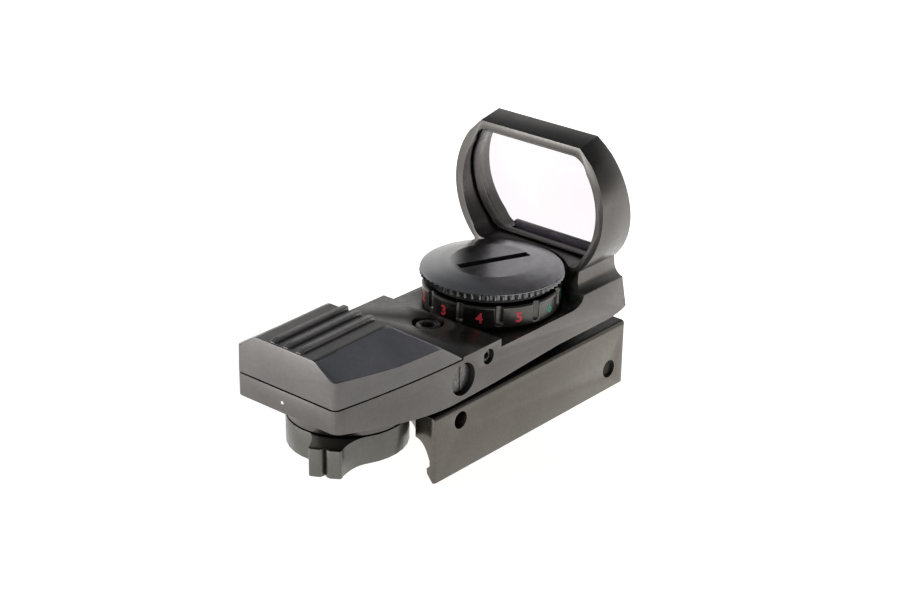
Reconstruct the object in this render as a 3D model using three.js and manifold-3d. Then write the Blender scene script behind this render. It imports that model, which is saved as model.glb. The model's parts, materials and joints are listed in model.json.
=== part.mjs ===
// Open reflex red-dot sight with a rail-clamp base.
// Millimetres. +X is the sight's right side, +Y its front (lens end), +Z up.
// Z = 0 is the foot of the base, X = 0 the mid-plane of the sight body.
import * as THREE from 'three';
import { mergeVertices } from 'three/addons/utils/BufferGeometryUtils.js';
import Module from 'manifold-3d';

const wasm = await Module();
wasm.setup();

// ---------- driving dimensions ----------
const GAP = 0.3;                       // clearance between separate pieces
const BODY = { half: 14.9, rearHalf: 12.2, rearY: -41.5, taperY: -8, frontY: 40.35 };
const DECK = { rear: 23.3, front: 21.6, stepY: 0.6, partingZ: 22.75 };
const FRONT = { y: 38.7, z: 23.84, lean: 0.226 };   // sloping front face of frame and hood
const BASE = { rearY: -18.2, frontY: 40.6, leftX: -12.6, topZ: 13.55, sideZ: 12.5, roofZ: 8.4 };
const RAIL = { x: 2.5, halfHead: 10.6 };            // centre and half width of the rail head held
const HOOD = { rearY: 26.1, topZ: 53.6, topHalf: 12.3, arcX: 1.5, arcZ: 40.6, arcR: 17.05, topLean: 0.2 };
const WAIST = { half: 13.2, z: 26.3 };              // narrowest part between shoulder and hood
const WINDOW = { arcZ: 40.2, arcR: 15.2, topZ: 52.1, topHalf: 10.9, sillZ: 28.8 };
const LENS = { back: 3.7, front: 2.0, retainerWall: 0.4 };   // depths behind the sloping front face
const SILL = { half: 10.6, topZ: 30.1, floorZ: 27.7, back: 1.6, front: 0.5, troughBack: 5.0 };
const DIAL = { y: 15.62, r: 13.6, innerR: 11.4, z0: 21.9, z1: 26.3, positions: 11, firstNotch: 21.2 };
const CAP = { r: 14.25, z0: 26.8, rimZ: 27.7, kneeZ: 29.0, topZ: 30.25, discR: 8.4, plugR: 9.8, teeth: 60 };
const COIN_SLOT = { angle: 67, from: -7.3, to: 8.0, half: 1.0, depth: 1.1 };
const CELL = { r: 10, z0: 22.9, z1: 26.1 };         // CR2032 coin cell
const KNOB = { y: -25.5, r: 11.45, z0: 7.8, z1: 13.3, leverR: 16.6, leverAngle: -61 };
const DRUM = { r: 6.2, innerR: 5.3, z0: 19.6, z1: 27.1, shaftR: 3.0, stations: [30, 90, 150, 210] };
const BOARD = { half: 5.6, y0: -30.5, y1: -20.5, z0: 27.9, z1: 28.6 };
const PIVOT = { y: 34, z: 18.5, pinR: 1.3 };        // crossing of the windage and elevation axes
const ELEVATION = { y: -3.2, headR: 2.4, shankR: 1.45 };
const WINDAGE = { y: -10.2, z: 18.8, r: 2.95, slotHalf: 0.25, slotDepth: 0.35 };
const LOCK = { y: -3.05, z: 20.9, r: 1.25 };
const COVER = {
  rearY: BODY.rearY, crestY: -22.6, noseY: -10.6, levelY: -27, z0: DECK.partingZ + GAP, wall: 1.4,
  crownHalf: 7.45, crownRearZ: 31.15, crownZ: 31.6, sideRearZ: 28.35, sideZ: 27.05, noseZ: 23.35, draft: 0.15,
};
const RIBS = { x: [-3.4, -0.2, 3.1], half: 0.8, rearZ: 31.75, crestZ: 32.1 };
const CLAMPS = [{ name: 'front', y: 35.5, z: 4.5 }, { name: 'rear', y: -10.8, z: 10.6 }];
const COVER_SCREW = { x: 8.6, y: -36.6 };

const FINISHES = {
  anodised: { color: 0x2b2a29, roughness: 0.55, metalness: 0.6 },
  steel: { color: 0x3a3a3c, roughness: 0.35, metalness: 0.9 },
  bright: { color: 0xb9bcc0, roughness: 0.3, metalness: 1.0 },
  spring: { color: 0x9a9ca0, roughness: 0.35, metalness: 1.0 },
  glass: { color: 0xe8e4f4, roughness: 0.05, metalness: 0.0 },
  plastic: { color: 0x1c1c1e, roughness: 0.6, metalness: 0.0 },
  board: { color: 0x1f5a34, roughness: 0.6, metalness: 0.0 },
  brass: { color: 0xb8964a, roughness: 0.35, metalness: 1.0 },
  emitter: { color: 0xd83a30, roughness: 0.2, metalness: 0.0 },
  lead: { color: 0x8a1f1c, roughness: 0.6, metalness: 0.0 },
};

// ---------- solid-making helpers ----------
const radians = THREE.MathUtils.degToRad;

// Turns a closed three.js geometry into a solid that can be joined and cut.
function solid(geometry) {
  const plain = geometry.index ? geometry.toNonIndexed() : geometry.clone();
  plain.deleteAttribute('normal');
  plain.deleteAttribute('uv');
  const merged = mergeVertices(plain, 1e-4);
  const corners = merged.index.array;
  const triangles = [];
  for (let i = 0; i < corners.length; i += 3) {
    const [a, b, c] = [corners[i], corners[i + 1], corners[i + 2]];
    if (a !== b && b !== c && c !== a) triangles.push(a, b, c);
  }
  const build = (list) => new wasm.Manifold(new wasm.Mesh({
    numProp: 3,
    vertProperties: new Float32Array(merged.attributes.position.array),
    triVerts: new Uint32Array(list),
  }));
  const made = build(triangles);
  return made.volume() >= 0 ? made : build(triangles.reverse());
}

function geometryOf(manifold) {
  const mesh = manifold.getMesh();
  const geometry = new THREE.BufferGeometry();
  geometry.setAttribute('position', new THREE.BufferAttribute(new Float32Array(mesh.vertProperties), 3));
  geometry.setIndex(new THREE.BufferAttribute(new Uint32Array(mesh.triVerts), 1));
  return geometry;
}

const join = (first, ...others) => others.reduce((sum, item) => sum.add(item), first);
const cut = (first, ...others) => others.reduce((rest, item) => rest.subtract(item), first);

// Extrudes an outline between two positions on an axis. The outline's own axes
// are X,Y for axis z; X,Z for axis y; and Y,Z for axis x.
function prism(outline, axis, from, to, curveSegments = 10) {
  const shape = Array.isArray(outline)
    ? new THREE.Shape(outline.map(([u, v]) => new THREE.Vector2(u, v)))
    : outline;
  const geometry = new THREE.ExtrudeGeometry(shape, { depth: to - from, bevelEnabled: false, curveSegments });
  const [ex, ey, ez] = [new THREE.Vector3(1, 0, 0), new THREE.Vector3(0, 1, 0), new THREE.Vector3(0, 0, 1)];
  const frames = { x: [ey, ez, ex], y: [ex, ez, ey.clone().negate()], z: [ex, ey, ez] };
  geometry.applyMatrix4(new THREE.Matrix4().makeBasis(...frames[axis]));
  const start = { x: [from, 0, 0], y: [0, to, 0], z: [0, 0, from] };
  return solid(geometry.translate(...start[axis]));
}

function box(x0, x1, y0, y1, z0, z1) {
  const geometry = new THREE.BoxGeometry(x1 - x0, y1 - y0, z1 - z0);
  return solid(geometry.translate((x0 + x1) / 2, (y0 + y1) / 2, (z0 + z1) / 2));
}

// Round bar of radius r along axis x, y or z; `a` and `b` are its other two coordinates.
function rod(axis, r, from, to, a, b, segments = 32) {
  const geometry = new THREE.CylinderGeometry(r, r, to - from, segments);
  if (axis === 'x') geometry.rotateZ(-Math.PI / 2);
  if (axis === 'z') geometry.rotateX(Math.PI / 2);
  const mid = (from + to) / 2;
  const place = { x: [mid, a, b], y: [a, mid, b], z: [a, b, mid] };
  return solid(geometry.translate(...place[axis]));
}

// Solid of revolution about a vertical axis; the profile is a closed list of [radius, z].
function turned(profile, x, y, segments = 64) {
  const closed = [...profile, profile[0]].map(([r, z]) => new THREE.Vector2(r, z));
  const geometry = new THREE.LatheGeometry(closed, segments).rotateX(Math.PI / 2);
  return solid(geometry.translate(x, y, 0));
}

const ring = (rIn, rOut, z0, z1, x, y, segments = 64) =>
  turned([[rIn, z0], [rOut, z0], [rOut, z1], [rIn, z1]], x, y, segments);

// Outline of a hexagonal socket.
const hexagon = (acrossFlats) => Array.from({ length: 6 }, (_, i) => {
  const angle = radians(30 + 60 * i);
  const r = acrossFlats / Math.sqrt(3);
  return [r * Math.cos(angle), r * Math.sin(angle)];
});

const moved = (item, x, y, z) => item.translate([x, y, z]);
function polar(r, degrees, x = 0, y = 0) {
  const angle = radians(degrees);
  return [x + r * Math.cos(angle), y + r * Math.sin(angle)];
}

// Y of the sloping front face at height z.
const frontAt = (z) => FRONT.y - FRONT.lean * (z - FRONT.z);

// Slab between two depths behind the sloping front face.
function frontSlab(back, front, z0 = 10, z1 = 70) {
  return prism([
    [frontAt(z0) - back, z0], [frontAt(z0) - front, z0],
    [frontAt(z1) - front, z1], [frontAt(z1) - back, z1],
  ], 'x', -30, 30);
}

// ---------- assembly bookkeeping ----------
const group = new THREE.Group();
group.name = 'reflex_sight';

function piece(name, manifold, finish) {
  const mesh = new THREE.Mesh(geometryOf(manifold), new THREE.MeshStandardMaterial(FINISHES[finish]));
  mesh.name = name;
  group.add(mesh);
}

// ---------- rail-clamp base ----------
// Section of the base: top plate, right side wall and the hooked fixed jaw.
function baseSection() {
  const section = new THREE.Shape();
  const half = BODY.half;
  section.moveTo(half, 0);
  section.lineTo(half, BASE.sideZ);
  section.quadraticCurveTo(half - 0.1, BASE.topZ, half - 1.2, BASE.topZ);
  section.lineTo(BASE.leftX, BASE.topZ);
  section.lineTo(BASE.leftX, BASE.roofZ);
  section.lineTo(10.2, BASE.roofZ);
  section.bezierCurveTo(12.2, BASE.roofZ - 0.2, 12.9, 6.6, 13.75, 4.5);
  section.lineTo(13.75, 3.4);
  section.lineTo(13.05, 2.75);
  section.lineTo(13.15, 1.7);
  section.lineTo(14.5, 0);
  return section;
}

// Round clearance for the selector knob, which turns just behind the base.
const knobRelief = rod('z', KNOB.r + 1.15, -1, 20, 0, KNOB.y, 64);

function mountBase() {
  const { rearY, frontY } = BASE;
  const plan = new THREE.Shape();
  plan.moveTo(BASE.leftX - 1, rearY);
  plan.lineTo(BODY.half - 0.8, rearY);
  plan.quadraticCurveTo(BODY.half, rearY, BODY.half, rearY + 0.8);
  plan.lineTo(BODY.half, frontY - 0.8);
  plan.quadraticCurveTo(BODY.half, frontY, BODY.half - 0.8, frontY);
  plan.lineTo(BASE.leftX - 1, frontY);
  const windagePost = box(-2.5, 2.5, WINDAGE.y - 2.5, WINDAGE.y + 2.5, BASE.topZ - 0.5, 20.8);
  const blank = prism(baseSection(), 'y', rearY, frontY, 8).intersect(prism(plan, 'z', -1, 20, 4));
  return cut(
    join(blank, windagePost),
    knobRelief,
    rod('x', 1.75, -20, 20, CLAMPS[1].y, CLAMPS[1].z, 24),
    rod('x', 1.9, 10, 20, CLAMPS[0].y, CLAMPS[0].z, 24),
    rod('z', 2.3, 5, 20, 0, ELEVATION.y, 24),
    rod('z', 2.3, 5, 20, 0, PIVOT.y, 24),
  );
}

// Sliding clamp plate on the left, its inner face a mirror of the fixed jaw about the rail.
function clampJaw() {
  const mirror = (x) => 2 * RAIL.x - x;
  const wall = BODY.half;
  const section = new THREE.Shape();
  section.moveTo(-wall, 0);
  section.lineTo(mirror(14.5), 0);
  section.lineTo(mirror(13.15), 1.7);
  section.lineTo(mirror(13.05), 2.75);
  section.lineTo(mirror(13.75), 3.4);
  section.lineTo(mirror(13.75), 4.5);
  section.quadraticCurveTo(mirror(12.9), 6.8, mirror(12.0), BASE.roofZ - GAP);
  section.lineTo(BASE.leftX - GAP, BASE.roofZ - GAP);
  section.lineTo(BASE.leftX - GAP, BASE.sideZ);
  section.lineTo(-wall + 0.8, BASE.sideZ);
  section.quadraticCurveTo(-wall, BASE.sideZ, -wall, BASE.sideZ - 0.8);
  const holes = CLAMPS.map(({ y, z }) => rod('x', 1.85, -20, -5, y, z, 24));
  return cut(prism(section, 'y', BASE.rearY + 0.5, BASE.frontY - 0.5, 6), knobRelief, ...holes);
}

// Socket-head clamp screw lying along X, head on the left, with its washer.
function clampScrew({ y, z }) {
  const head = rod('x', 2.4, -18.4, -16.0, y, z, 32);
  const shank = rod('x', 1.5, -16.1, z > BASE.roofZ ? 12.0 : 14.4, y, z, 24);
  const socket = moved(prism(hexagon(2.5), 'x', -19, -16.9), 0, y, z);
  return cut(join(head, shank), socket);
}

piece('mount_base', mountBase(), 'anodised');
piece('clamp_jaw', clampJaw(), 'anodised');
for (const clamp of CLAMPS) {
  piece(`${clamp.name}_clamp_screw`, clampScrew(clamp), 'steel');
  const washer = rod('x', 2.6, -15.75, -15.2, clamp.y, clamp.z);
  const washerHole = rod('x', 1.8, -16, -15, clamp.y, clamp.z);
  piece(`${clamp.name}_clamp_washer`, cut(washer, washerHole), 'bright');
}
piece('pivot_stud', rod('z', 2.0, BASE.roofZ + 0.5, 16.1, 0, PIVOT.y), 'steel');

// ---------- swivel between base and frame ----------
const swivel = cut(
  box(-5.4, 5.4, PIVOT.y - 3.4, PIVOT.y + 3.4, BASE.topZ + 0.35, 20.7),
  rod('z', 2.3, 10, 16.4, 0, PIVOT.y),
  rod('x', PIVOT.pinR + GAP, -10, 10, PIVOT.y, PIVOT.z),
);
piece('swivel_block', swivel, 'steel');
piece('elevation_pin', rod('x', PIVOT.pinR, -12.3, 12.3, PIVOT.y, PIVOT.z), 'bright');

// ---------- main frame: body, boss and lens hood in one casting ----------
// Half width of the body at Y: straight sides, then a long arc narrowing to the rear.
const TAPER = BODY.taperY - BODY.rearY;
const TAPER_R = (TAPER ** 2 + (BODY.half - BODY.rearHalf) ** 2) / (2 * (BODY.half - BODY.rearHalf));
function halfWidthAt(y) {
  const behind = Math.max(0, BODY.taperY - y);
  return BODY.half - TAPER_R + Math.sqrt(TAPER_R ** 2 - behind ** 2);
}

// Plan outline of the body between two Y positions, pulled in by `inset`.
function bodyPlan(y0, y1, inset = 0, corner = 1.0, steps = 12) {
  const right = [];
  for (let i = 0; i <= steps; i++) {
    const y = y0 + corner + (Math.min(BODY.taperY, y1) - y0 - corner) * (i / steps);
    right.push([halfWidthAt(y) - inset, y]);
  }
  const rearHalf = halfWidthAt(y0) - inset;
  const round = [[rearHalf - corner, y0], [rearHalf - corner * 0.3, y0 + corner * 0.3]];
  const ahead = y1 > BODY.taperY ? [[BODY.half - inset, y1]] : [];
  const side = [...round, ...right, ...ahead];
  return [...side, ...side.map(([x, y]) => [-x, y]).reverse()];
}

// Side view of the body below the hood.
function bodySide() {
  const side = new THREE.Shape();
  side.moveTo(BODY.rearY, 18.35);
  side.quadraticCurveTo(-33, 16.6, -26, 15.6);
  side.quadraticCurveTo(-20, 14.6, -14, 14.45);
  side.lineTo(-1, 14.8);
  side.lineTo(18.6, 15.9);
  side.lineTo(34, 15.9);
  side.quadraticCurveTo(38.5, 16.0, BODY.frontY, 17.0);
  side.lineTo(FRONT.y, FRONT.z);
  side.lineTo(HOOD.rearY, FRONT.z);
  side.quadraticCurveTo(25.6, DECK.front + 0.2, 22.4, DECK.front);
  side.lineTo(DECK.stepY, DECK.front);
  side.lineTo(DECK.stepY, DECK.rear);
  side.lineTo(COVER.noseY + GAP, DECK.rear);
  side.lineTo(COVER.noseY + GAP, DECK.partingZ);
  side.lineTo(BODY.rearY, DECK.partingZ);
  return side;
}

// Hood outline seen from the rear: fillet out of the shoulder, waist, round flank, chamfer, flat top.
function hoodOutline() {
  const { arcX, arcZ, arcR, topZ, topHalf } = HOOD;
  const outline = new THREE.Shape();
  const flank = (angle) => [arcX + arcR * Math.cos(angle), arcZ + arcR * Math.sin(angle)];
  const low = radians(-46);
  const high = radians(36.5);
  outline.moveTo(0, 19);
  outline.lineTo(BODY.half, 19);
  outline.lineTo(BODY.half, FRONT.z);
  outline.bezierCurveTo(13.9, 24.2, WAIST.half, 25.2, WAIST.half, WAIST.z);
  outline.lineTo(...flank(low));
  outline.absarc(arcX, arcZ, arcR, low, high, false);
  outline.lineTo(topHalf, topZ);
  outline.lineTo(-topHalf, topZ);
  outline.lineTo(-flank(high)[0], flank(high)[1]);
  outline.absarc(-arcX, arcZ, arcR, Math.PI - high, Math.PI - low, false);
  outline.lineTo(-WAIST.half, WAIST.z);
  outline.bezierCurveTo(-WAIST.half, 25.2, -13.9, 24.2, -BODY.half, FRONT.z);
  outline.lineTo(-BODY.half, 19);
  return outline;
}

// Window outline; `inset` shrinks it for the pieces that sit inside the opening.
function windowOutline(inset) {
  const { arcZ, arcR, topZ, topHalf, sillZ } = WINDOW;
  const outline = new THREE.Shape();
  const r = arcR - inset;
  const low = radians(-36);
  const high = radians(34);
  const [lowX, lowZ] = [HOOD.arcX + r * Math.cos(low), arcZ + r * Math.sin(low)];
  const [highX, highZ] = [HOOD.arcX + r * Math.cos(high), arcZ + r * Math.sin(high)];
  const sill = { z: sillZ + inset, half: 11.4 - inset, cornerX: 13.0 - inset };
  const top = { z: topZ - inset, half: topHalf - inset, cornerX: 12.9 - inset };
  outline.moveTo(0, sill.z);
  outline.lineTo(sill.half, sill.z);
  outline.quadraticCurveTo(sill.cornerX, sill.z + 0.2, lowX, lowZ);
  outline.absarc(HOOD.arcX, arcZ, r, low, high, false);
  outline.quadraticCurveTo(top.cornerX, top.z, top.half, top.z);
  outline.lineTo(-top.half, top.z);
  outline.quadraticCurveTo(-top.cornerX, top.z, -highX, highZ);
  outline.absarc(-HOOD.arcX, arcZ, r, Math.PI - high, Math.PI - low, false);
  outline.quadraticCurveTo(-sill.cornerX, sill.z + 0.2, -sill.half, sill.z);
  return outline;
}

// Lifts the upper half of a hood solid towards the front, so the top face rises forwards.
function leanTop(manifold) {
  return manifold.warp((vertex) => {
    const share = Math.max(0, (vertex[2] - HOOD.arcZ) / (HOOD.topZ - HOOD.arcZ));
    vertex[2] += HOOD.topLean * (vertex[1] - HOOD.rearY) * share;
  });
}

const leadBore = { x: -10.4, z: 19.6 };

function mainFrame() {
  const body = prism(bodySide(), 'x', -20, 20, 8).intersect(
    prism(bodyPlan(BODY.rearY, BODY.frontY + 1), 'z', 5, 60));
  const boss = rod('z', 11.3, KNOB.z1 + GAP, 17.5, 0, KNOB.y, 64);
  const hood = cut(
    leanTop(prism(hoodOutline(), 'y', HOOD.rearY, 41, 12)),
    leanTop(prism(windowOutline(0), 'y', 20, 45, 12)),
    frontSlab(-20, 0),
  );
  // trough that takes the foot of the lens, and the anti-glare lip standing in front of it
  const trough = box(-SILL.half, SILL.half, 20, 45, SILL.floorZ, WINDOW.sillZ + 1);
  const lip = box(-SILL.half, SILL.half, 20, 45, SILL.floorZ - 0.5, SILL.topZ);
  return cut(
    join(
      cut(join(body, boss, hood), trough.intersect(frontSlab(SILL.troughBack, SILL.back))),
      lip.intersect(frontSlab(SILL.back, SILL.front)),
    ),
    // pocket round the dial and cap, then the seats below it
    rod('z', CAP.r + 0.75, DECK.front, 36, 0, DIAL.y, 64),
    rod('z', 13.3, 20.7, 30, 0, DIAL.y, 64),
    rod('z', 11.3, 17.6, 30, 0, DIAL.y, 64),
    // emitter chamber behind the deck and the bore for the selector shaft
    box(-11.3, 11.3, -33.8, -14.5, 19.2, 30),
    rod('z', DRUM.shaftR + GAP, 10, 25, 0, KNOB.y),
    // lead bore from the emitter chamber to the battery well
    rod('y', 0.85, -16, 12, leadBore.x, leadBore.z, 16),
    // pocket for the windage post, windage screw and spring bores
    box(-3.5, 3.5, WINDAGE.y - 3.5, WINDAGE.y + 3.4, 10, 21.4),
    rod('x', WINDAGE.r + GAP, 3.2, 20, WINDAGE.y, WINDAGE.z),
    rod('x', 2.3, -8.1, 0, WINDAGE.y, WINDAGE.z, 24),
    // elevation screw: counterbore, shank bore, spring pocket and cross-bored lock screw
    rod('z', 3.15, 20.2, 30, 0, ELEVATION.y),
    rod('z', 1.95, 10, 30, 0, ELEVATION.y),
    rod('z', 2.9, 10, 18, 0, ELEVATION.y),
    rod('x', LOCK.r + GAP, 2, 20, LOCK.y, LOCK.z, 24),
    // pivot pocket and pin bore
    box(-6, 6, PIVOT.y - 4, PIVOT.y + 4, 10, 21),
    rod('x', PIVOT.pinR + GAP, -12.7, 12.7, PIVOT.y, PIVOT.z),
    // detent bores: dial plunger through the shoulder wall, selector ball in the boss
    dialDetent(1.3, 5.4),
    rod('z', 1.2, 12, 18.7, 0, KNOB.y + 8, 16),
    // cover screws from below
    ...[-1, 1].flatMap((side) => [
      rod('z', 1.95, 10, 18.8, side * COVER_SCREW.x, COVER_SCREW.y, 20),
      rod('z', 1.25, 10, 25, side * COVER_SCREW.x, COVER_SCREW.y, 20),
    ]),
  );
}

// Bar lying along the dial's detent direction, starting `start` beyond the dial's rim.
const DETENT_ANGLE = DIAL.firstNotch + 2 * (360 / DIAL.positions);
function dialDetent(r, length, start = 0) {
  const bar = rod('x', r, DIAL.r + start, DIAL.r + start + length, 0, 24.2, 20);
  return moved(bar.rotate([0, 0, DETENT_ANGLE]), 0, DIAL.y, 0);
}

piece('main_frame', mainFrame(), 'anodised');

// ---------- lens and its retaining ring ----------
const windowPlug = (inset) => leanTop(prism(windowOutline(inset), 'y', 20, 45, 12));
const lensHalf = SILL.half - GAP;
const lensFoot = box(-lensHalf, lensHalf, 20, 45, SILL.floorZ + GAP, WINDOW.sillZ + 1);
piece('lens', join(windowPlug(GAP), lensFoot).intersect(frontSlab(LENS.back, LENS.front)), 'glass');
const retainer = cut(windowPlug(GAP), windowPlug(GAP + LENS.retainerWall));
const retainerSeat = frontSlab(LENS.back + 2.2, LENS.back + GAP);
const clearOfCap = rod('z', CAP.r + 0.75, DECK.front, 36, 0, DIAL.y, 72);
piece('lens_retainer', cut(retainer.intersect(retainerSeat), clearOfCap), 'anodised');

// ---------- rear cover over the emitter ----------
// Share of the way from one Y to another, held between 0 and 1.
const shareOf = (y, from, to) => THREE.MathUtils.clamp((y - from) / (to - from), 0, 1);

// Cross-section of the cover at Y as a closed list of [x, z]: upright side, chamfer, flat crown.
// Ahead of the crest a slope cuts it down to the nose. `shell` pulls it in to make the hollow inside.
function coverSection(y, shell) {
  const lerp = THREE.MathUtils.lerp;
  const flatZ = lerp(COVER.crownRearZ, COVER.crownZ, shareOf(y, COVER.rearY, COVER.crestY));
  const slopeZ = lerp(COVER.crownZ, COVER.noseZ, shareOf(y, COVER.crestY, COVER.noseY));
  const sideZ = lerp(COVER.sideRearZ, COVER.sideZ, shareOf(y, COVER.rearY, COVER.levelY));
  const outerTopZ = Math.min(flatZ, slopeZ);
  const spread = (flatZ - outerTopZ) / (flatZ - sideZ);
  const outerSideX = halfWidthAt(y) - COVER.draft;
  const topZ = outerTopZ - shell;
  const sideX = outerSideX - shell;
  const topX = Math.min(lerp(COVER.crownHalf, outerSideX, spread) - shell * 0.5, sideX - 0.3);
  const ease = Math.min(0.9, (sideX - topX) * 0.4);
  const half = [
    [halfWidthAt(y) - shell * 1.1, shell > 0 ? COVER.z0 - 1 : COVER.z0],
    [sideX, Math.min(sideZ - shell * 0.5, topZ - 0.12)],
    [topX + ease, topZ - ease * 0.5],
    [topX - ease, topZ],
  ];
  return [...half, ...half.map(([x, z]) => [-x, z]).reverse()];
}

// Skins a solid over a list of cross-sections with equal point counts.
function loft(stations, sectionAt) {
  const rings = stations.map((y) => sectionAt(y).map(([x, z]) => [x, y, z]));
  const count = rings[0].length;
  const points = rings.flat();
  const index = [];
  for (let s = 0; s + 1 < rings.length; s++) {
    for (let i = 0; i < count; i++) {
      const [a, b] = [s * count + i, s * count + ((i + 1) % count)];
      index.push(a, b, b + count, a, b + count, a + count);
    }
  }
  const contour = (ringPoints) => ringPoints.map(([x, , z]) => new THREE.Vector2(x, z));
  const last = (rings.length - 1) * count;
  for (const [a, b, c] of THREE.ShapeUtils.triangulateShape(contour(rings[0]), [])) index.push(a, c, b);
  for (const [a, b, c] of THREE.ShapeUtils.triangulateShape(contour(rings.at(-1)), [])) {
    index.push(last + a, last + b, last + c);
  }
  const geometry = new THREE.BufferGeometry();
  geometry.setAttribute('position', new THREE.Float32BufferAttribute(points.flat(), 3));
  geometry.setIndex(index);
  return solid(geometry);
}

function rearCover() {
  const outerStations = [COVER.rearY, -38, -34, -30, COVER.levelY, COVER.crestY, -19, -16, -13, COVER.noseY];
  const innerStations = [COVER.rearY + 1.6, -36, -32, -28, COVER.crestY - 0.6, -19, -15.8];
  const ribEnd = COVER.crestY + 0.4;
  const ribSide = [[COVER.rearY, 30.4], [ribEnd, 30.4], [ribEnd, RIBS.crestZ], [COVER.rearY, RIBS.rearZ]];
  const ribs = RIBS.x.map((x) => prism(ribSide, 'x', x - RIBS.half, x + RIBS.half));
  const outer = loft(outerStations, (y) => coverSection(y, 0));
  const inner = loft(innerStations, (y) => coverSection(y, COVER.wall));
  const pillars = [-1, 1].map((side) =>
    rod('z', 2.1, COVER.z0, 28, side * COVER_SCREW.x, COVER_SCREW.y, 24).intersect(outer));
  // grooved rails that carry the two edges of the emitter board
  const rails = [-1, 1].map((side) => cut(
    box(BOARD.half - 0.5, 11.5, BOARD.y0 + 1, BOARD.y1 - 2, BOARD.z0 - 0.5, BOARD.z1 + 1.2),
    box(0, BOARD.half + GAP, BOARD.y0 - 1, BOARD.y1 + 1, BOARD.z0 - GAP, BOARD.z1 + GAP),
  ).scale([side, 1, 1]).intersect(outer));
  return cut(
    join(cut(outer, inner), ...ribs, ...pillars, ...rails),
    box(-3.3, 3.3, -20.2, -13.4, 24.6, 29.4),
    ...[-1, 1].map((side) => rod('z', 1.3, 20, 27, side * COVER_SCREW.x, COVER_SCREW.y, 20)),
  );
}

function coverScrew(side) {
  const [x, y] = [side * COVER_SCREW.x, COVER_SCREW.y];
  const slot = box(x - 0.3, x + 0.3, y - 2, y + 2, 10, 18.0);
  return cut(join(rod('z', 1.65, 17.5, 18.5, x, y, 24), rod('z', 0.95, 18.4, 26.5, x, y, 16)), slot);
}

piece('rear_cover', rearCover(), 'anodised');
piece('cover_screw_left', coverScrew(-1), 'steel');
piece('cover_screw_right', coverScrew(1), 'steel');
piece('emitter_window', box(-3, 3, -18.4, -17.7, 24.9, 27.3), 'glass');

// ---------- emitter on its board, hung inside the reticle drum ----------
piece('emitter_board', box(-BOARD.half, BOARD.half, BOARD.y0, BOARD.y1, BOARD.z0, BOARD.z1), 'board');
const diode = join(rod('z', 1.5, 24.2, 26.4, 0, KNOB.y, 24), rod('z', 1.85, 26.3, 27.6, 0, KNOB.y, 24));
piece('red_green_led', diode, 'emitter');

// ---------- reticle selector under the rear of the frame ----------
function selectorKnob() {
  // disc with a two-lobed thumb lever between concave scallops
  const { r, leverR } = KNOB;
  const shape = new THREE.Shape();
  const groove = polar(leverR - 1.1, -0.5);
  shape.absarc(0, 0, r, radians(33), radians(338), false);
  shape.quadraticCurveTo(...polar(r + 0.4, -15.5), ...polar(leverR - 1.0, -11.4));
  shape.quadraticCurveTo(...polar(leverR + 0.2, -11.0), ...polar(leverR, -8.2));
  shape.lineTo(...polar(leverR - 0.1, -4.0));
  shape.quadraticCurveTo(...polar(leverR - 0.3, -1.6), ...groove);
  shape.quadraticCurveTo(...polar(leverR - 0.2, 0.8), ...polar(leverR, 3.8));
  shape.lineTo(...polar(leverR, 8.2));
  shape.quadraticCurveTo(...polar(leverR + 0.2, 11.0), ...polar(leverR - 1.0, 11.4));
  shape.quadraticCurveTo(...polar(r + 0.4, 19), ...polar(r, 33));
  const disc = prism(shape, 'z', KNOB.z0, KNOB.z1, 14).rotate([0, 0, KNOB.leverAngle]);
  const dimples = DRUM.stations.map((angle) => rod('z', 0.9, KNOB.z1 - 0.5, 14, ...polar(8, angle), 12));
  return cut(
    moved(cut(disc, ...dimples), 0, KNOB.y, 0),
    rod('z', DRUM.shaftR + GAP, 9.6, 14, 0, KNOB.y),
    rod('z', 1.5, 7, 12, 0, KNOB.y, 20),
    rod('z', 2.7, 7, 8.7, 0, KNOB.y, 24),
    ring(4.6, 9.6, 7, 9.0, 0, KNOB.y, 32),
  );
}

function reticleDrum() {
  const cup = turned([
    [0, 9.9], [DRUM.shaftR, 9.9], [DRUM.shaftR, DRUM.z0], [DRUM.r, DRUM.z0],
    [DRUM.r, DRUM.z1], [DRUM.innerR, DRUM.z1], [DRUM.innerR, DRUM.z0 + 1], [0, DRUM.z0 + 1],
  ], 0, KNOB.y, 40);
  const windows = DRUM.stations.map((angle) =>
    moved(box(4, 8, -1.6, 1.6, 23.9, 26.8).rotate([0, 0, angle]), 0, KNOB.y, 0));
  return cut(cup, rod('z', 1.3, 9, 15, 0, KNOB.y, 20), ...windows);
}

// Thin mask in one drum window, pierced with its aiming pattern.
function reticleMask(angle, pattern) {
  const plate = box(5.55, 5.95, -1.3, 1.3, 24.2, 26.5);
  const pierced = cut(plate, ...pattern);
  return moved(pierced.rotate([0, 0, angle]), 0, KNOB.y, 0);
}

const slot = (y0, y1, z0, z1) => box(5, 7, y0, y1, z0, z1);
const dot = (y = 0, z = 25.5, r = 0.22) => rod('x', r, 5, 7, y, z, 12);
const PATTERNS = {
  dot: [dot()],
  cross: [slot(-0.9, 0.9, 25.42, 25.58), slot(-0.08, 0.08, 24.7, 26.3)],
  ring_dots: [dot(), ...[0, 60, 120, 180, 240, 300].map((a) => dot(...polar(0.8, a, 0, 25.5), 0.14))],
  tee: [slot(-0.9, -0.3, 25.42, 25.58), slot(0.3, 0.9, 25.42, 25.58), slot(-0.08, 0.08, 24.6, 25.2), dot()],
};

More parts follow.
